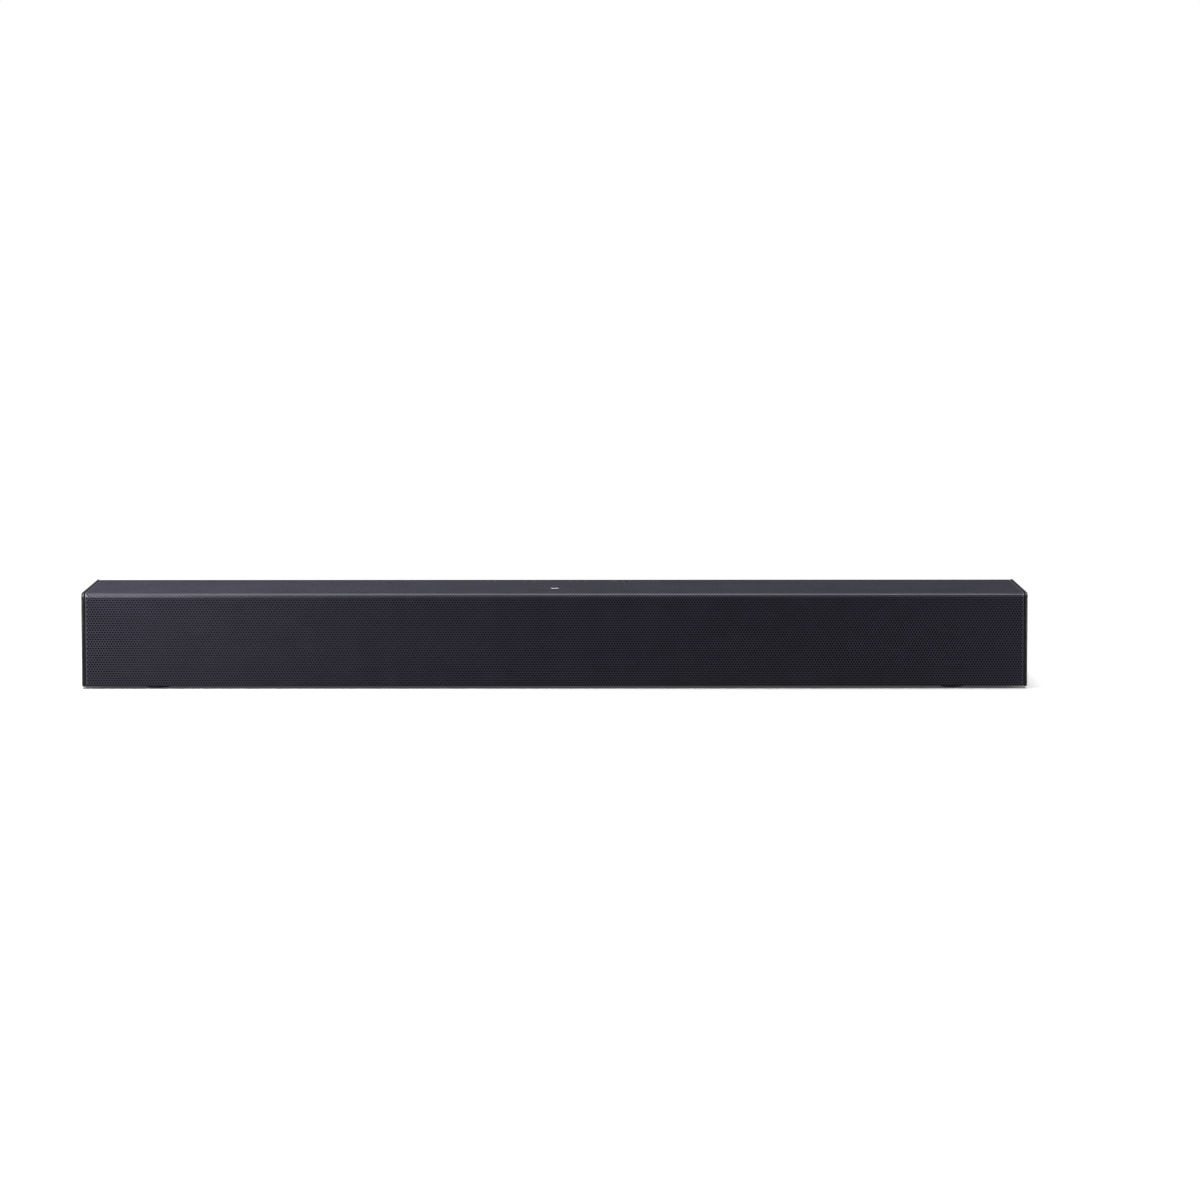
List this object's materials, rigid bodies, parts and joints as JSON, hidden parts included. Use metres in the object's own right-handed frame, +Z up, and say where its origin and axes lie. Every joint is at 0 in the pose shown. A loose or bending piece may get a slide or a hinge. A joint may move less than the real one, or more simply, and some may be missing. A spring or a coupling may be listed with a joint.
{
  "type": "soundbar",
  "caption": "Low rectangular soundbar with a perforated wrap-round grille, thin end caps, top buttons and a rear jack bay, built as separate shells, drivers, boards and fasteners.",
  "frame": {"origin": "on the floor under the middle of the bar, level with the bottoms of the feet", "axes": "+X along the bar to the right as seen from the front, +Y from the front to the rear, +Z up"},
  "size_m": [0.64, 0.106, 0.0655],
  "materials": {
    "perforated_steel": "satin graphite paint on perforated sheet",
    "acoustic_cloth": "plain black knit",
    "shell_plastic": "fine moulded texture",
    "inner_plastic": "plain moulded",
    "rear_plastic": "fine moulded texture",
    "end_cap_plastic": "semi-gloss black",
    "port_plastic": "smooth satin",
    "circuit_board": "solder-resist green",
    "bare_aluminium": "extruded",
    "socket_plastic": "plain moulded",
    "aux_plastic": "plain moulded",
    "plated_shell": "nickel plated sheet",
    "shutter_plastic": "plain moulded",
    "switch_plastic": "plain moulded",
    "ir_window": "dark moulded lens",
    "clear_guide": "clear moulded acrylic",
    "button_plastic": "fine moulded texture",
    "lead_jacket": "plain jacket",
    "ribbon_film": "flat cable film",
    "foot_rubber": "matt",
    "insert_brass": "turned",
    "black_steel": "black oxide",
    "zinc_steel": "zinc plated",
    "basket_paint": "black paint on pressed steel",
    "gasket_foam": "closed-cell foam",
    "surround_rubber": "smooth",
    "cone_paper": "black pulp",
    "coil_copper": "enamelled copper winding",
    "spider_cloth": "resin-stiffened weave",
    "ferrite": "sintered",
    "magnet_nickel": "nickel plated",
    "dome_metal": "anodised"
  },
  "bodies": {
    "cabinet": {"front_grille": "perforated_steel", "grille_cloth": "acoustic_cloth", "top_cover": "shell_plastic", "front_baffle": "inner_plastic", "bottom_cover": "shell_plastic", "rear_cover": "rear_plastic", "left_end_cap": "end_cap_plastic", "right_end_cap": "end_cap_plastic", "left_bulkhead": "inner_plastic", "right_bulkhead": "inner_plastic", "left_woofer_basket": "basket_paint", "left_woofer_gasket": "gasket_foam", "left_woofer_surround": "surround_rubber", "left_woofer_spider": "spider_cloth", "left_woofer_top_plate": "zinc_steel", "left_woofer_magnet": "ferrite", "left_woofer_yoke": "zinc_steel", "right_woofer_basket": "basket_paint", "right_woofer_gasket": "gasket_foam", "right_woofer_surround": "surround_rubber", "right_woofer_spider": "spider_cloth", "right_woofer_top_plate": "zinc_steel", "right_woofer_magnet": "ferrite", "right_woofer_yoke": "zinc_steel", "left_tweeter_housing": "socket_plastic", "left_tweeter_magnet": "magnet_nickel", "right_tweeter_housing": "socket_plastic", "right_tweeter_magnet": "magnet_nickel", "left_bass_port": "port_plastic", "right_bass_port": "port_plastic", "main_board": "circuit_board", "heatsink": "bare_aluminium", "dc_jack": "socket_plastic", "aux_jack": "aux_plastic", "usb_socket": "plated_shell", "hdmi_socket": "plated_shell", "optical_socket": "socket_plastic", "button_board": "circuit_board", "tact_switches": "switch_plastic", "ir_receiver": "ir_window", "indicator_light_guide": "clear_guide", "speaker_leads": "lead_jacket", "ribbon_cable": "ribbon_film", "rubber_feet": "foot_rubber", "wall_mount_inserts": "insert_brass", "cabinet_screws": "black_steel", "driver_screws": "black_steel", "board_screws": "zinc_steel"},
    "left_woofer_cone_body": {"left_woofer_cone": "cone_paper", "left_woofer_voice_coil": "coil_copper"},
    "right_woofer_cone_body": {"right_woofer_cone": "cone_paper", "right_woofer_voice_coil": "coil_copper"},
    "left_tweeter_dome_body": {"left_tweeter_dome": "dome_metal"},
    "right_tweeter_dome_body": {"right_tweeter_dome": "dome_metal"},
    "power_button": {"button_power": "button_plastic"},
    "source_button": {"button_source": "button_plastic"},
    "volume_down_button": {"button_volume_down": "button_plastic"},
    "volume_up_button": {"button_volume_up": "button_plastic"},
    "shutter": {"optical_shutter": "shutter_plastic"}
  },
  "joints": [
    {"name": "left_woofer_travel", "type": "slide", "parent": "cabinet", "child": "left_woofer_cone_body", "axis": [0, 1, 0], "range_m": [-0.0025, 0.0025], "stiffness_N_per_m": 1500, "deforming": ["left_woofer_surround", "left_woofer_spider"]},
    {"name": "right_woofer_travel", "type": "slide", "parent": "cabinet", "child": "right_woofer_cone_body", "axis": [0, 1, 0], "range_m": [-0.0025, 0.0025], "stiffness_N_per_m": 1500, "deforming": ["right_woofer_surround", "right_woofer_spider"]},
    {"name": "left_tweeter_travel", "type": "slide", "parent": "cabinet", "child": "left_tweeter_dome_body", "axis": [0, 1, 0], "range_m": [-0.0003, 0.0003], "stiffness_N_per_m": 1500},
    {"name": "right_tweeter_travel", "type": "slide", "parent": "cabinet", "child": "right_tweeter_dome_body", "axis": [0, 1, 0], "range_m": [-0.0003, 0.0003], "stiffness_N_per_m": 1500},
    {"name": "power_press", "type": "slide", "parent": "cabinet", "child": "power_button", "axis": [0, 0, -1], "range_m": [0, 0.0005], "stiffness_N_per_m": 1200},
    {"name": "source_press", "type": "slide", "parent": "cabinet", "child": "source_button", "axis": [0, 0, -1], "range_m": [0, 0.0005], "stiffness_N_per_m": 1200},
    {"name": "volume_down_press", "type": "slide", "parent": "cabinet", "child": "volume_down_button", "axis": [0, 0, -1], "range_m": [0, 0.0005], "stiffness_N_per_m": 1200},
    {"name": "volume_up_press", "type": "slide", "parent": "cabinet", "child": "volume_up_button", "axis": [0, 0, -1], "range_m": [0, 0.0005], "stiffness_N_per_m": 1200},
    {"name": "shutter_swing", "type": "hinge", "parent": "cabinet", "child": "shutter", "pos_m": [0.04, 0.0347, 0.0247], "axis": [-1, 0, 0], "range_deg": [0, 80], "stiffness_Nm_per_rad": 0.0002, "springref_deg": -20.05}
  ]
}
